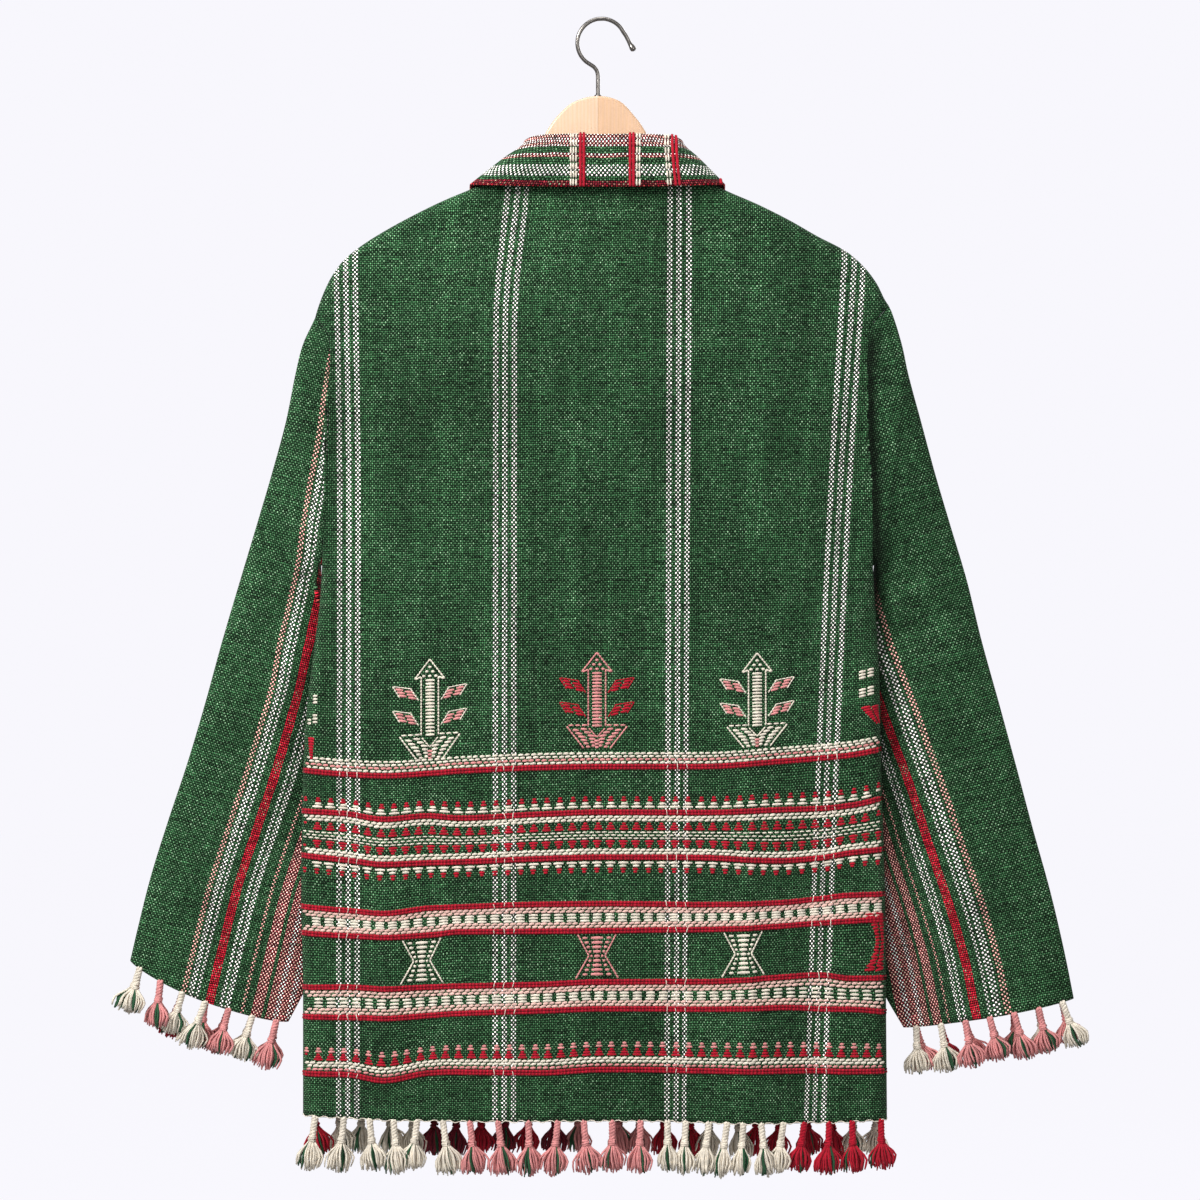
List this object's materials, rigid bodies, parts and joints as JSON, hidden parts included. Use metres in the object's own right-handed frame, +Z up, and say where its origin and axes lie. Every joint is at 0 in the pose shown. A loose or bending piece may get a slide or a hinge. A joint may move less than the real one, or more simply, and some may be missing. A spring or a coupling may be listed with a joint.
{
  "type": "wool jacket on a hanger",
  "caption": "hand-woven wool jacket with fold-over collar, long straight sleeves and a fringe of tassels at hem and cuffs, hanging flat on a wooden hanger with a steel hook",
  "frame": {"origin": "under the crown of the hanger's hook, where a rod carries it, straight above the hook's stem", "axes": "+Z up; +X to the right as the picture shows the jacket, which is its back view; -Y is the jacket's back, toward the camera, +Y its front opening"},
  "size_m": [0.8559, 0.0655, 1.046],
  "materials": {
    "green_wool": "deep green plain-woven wool with dotted warp stripes",
    "striped_wool": "green wool with cross bands of cream, pink and red",
    "tassel_yarn": "soft twisted wool in cream, pink, red and green",
    "hanger_wood": "pale clear-lacquered wood",
    "hook_steel": "plated steel wire"
  },
  "bodies": {
    "root": {"back": "green_wool", "front_left": "green_wool", "front_right": "green_wool", "sleeve_left_back": "green_wool", "sleeve_left_front": "green_wool", "sleeve_right_back": "green_wool", "sleeve_right_front": "green_wool", "collar": "striped_wool", "hem_tassels_back": "tassel_yarn", "hem_tassels_front_left": "tassel_yarn", "hem_tassels_front_right": "tassel_yarn", "cuff_tassels_left": "tassel_yarn", "cuff_tassels_right": "tassel_yarn", "hanger_wood": "hanger_wood", "hanger_hook": "hook_steel"}
  },
  "joints": []
}
